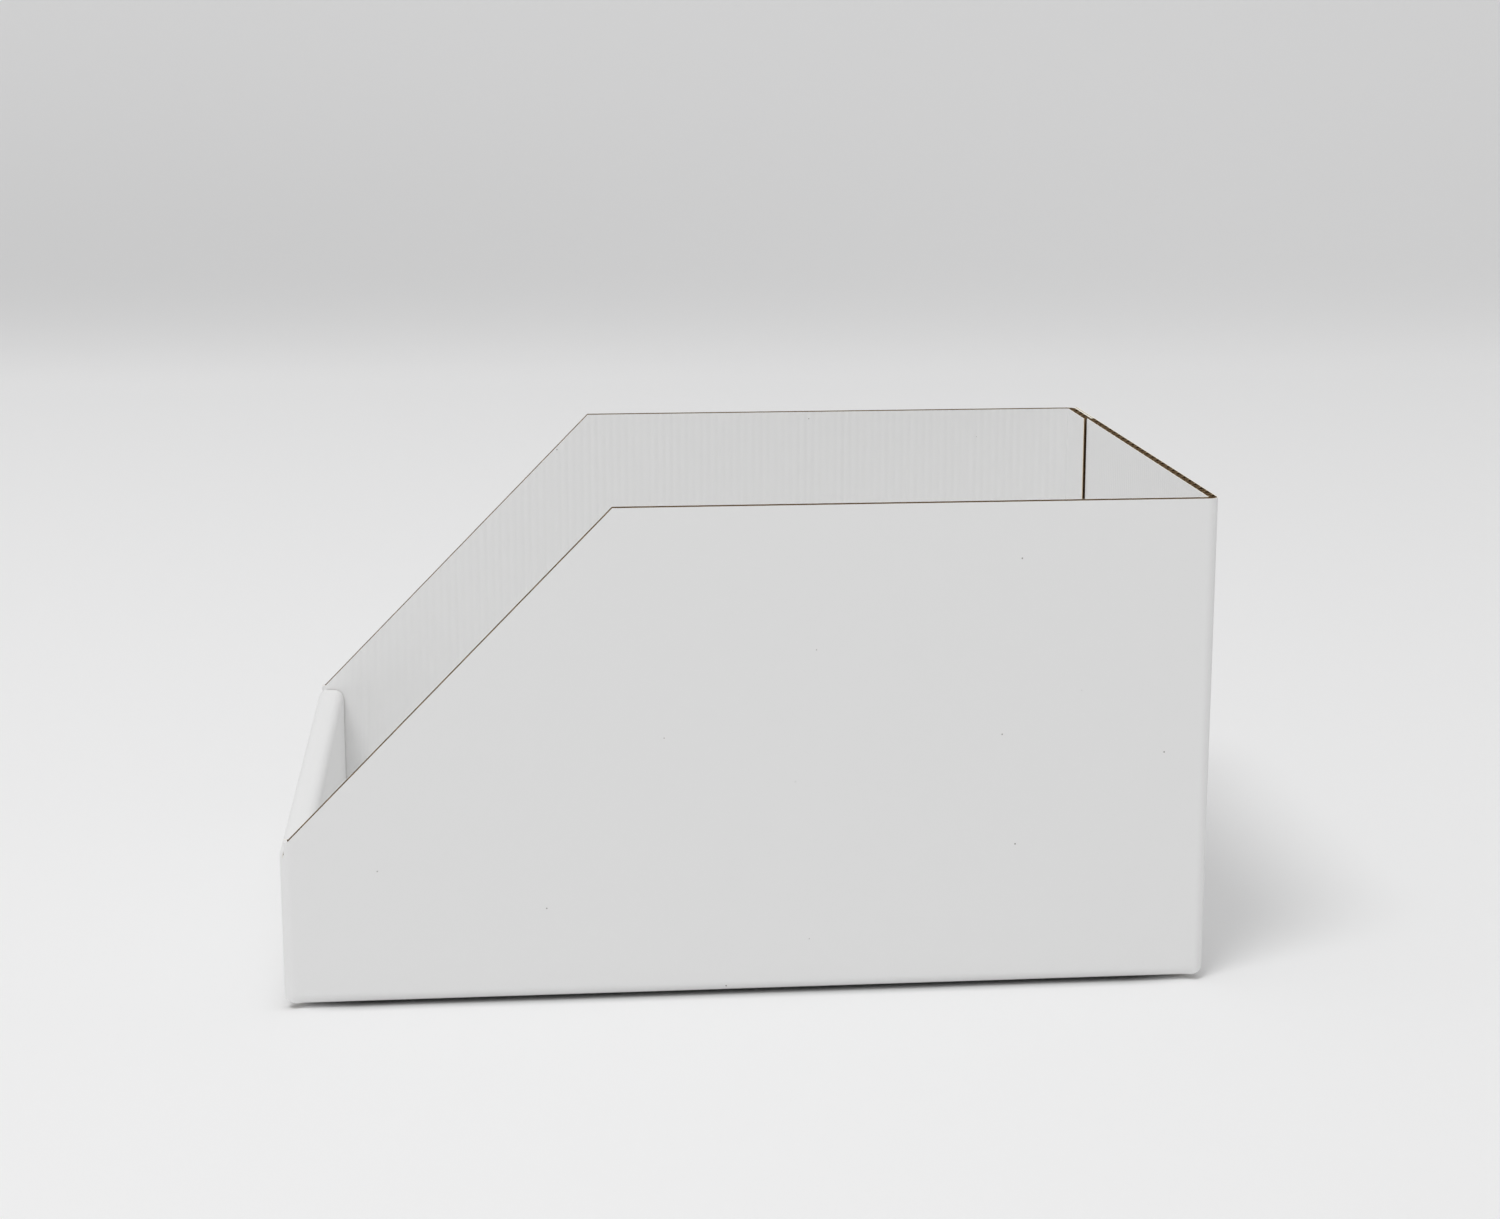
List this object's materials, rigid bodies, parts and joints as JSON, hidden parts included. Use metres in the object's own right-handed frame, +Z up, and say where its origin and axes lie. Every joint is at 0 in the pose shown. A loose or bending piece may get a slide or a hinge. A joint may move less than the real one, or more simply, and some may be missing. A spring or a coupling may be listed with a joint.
{
  "type": "cardboard display stand",
  "caption": "Open-front display bin folded from white corrugated board, with sloping sides, a rolled low front wall and a folded flap bottom.",
  "frame": {"origin": "under the middle of the bin, on the underside of the outer bottom flaps", "axes": "+X to the bin's right seen from its low front, +Y from the low front to the high back, +Z up"},
  "size_m": [0.2, 0.28, 0.1505],
  "materials": {
    "white_corrugated_board": "matt white paper faces over a brown fluted core"
  },
  "bodies": {
    "root": {"folded_bin": "white_corrugated_board"}
  },
  "joints": []
}
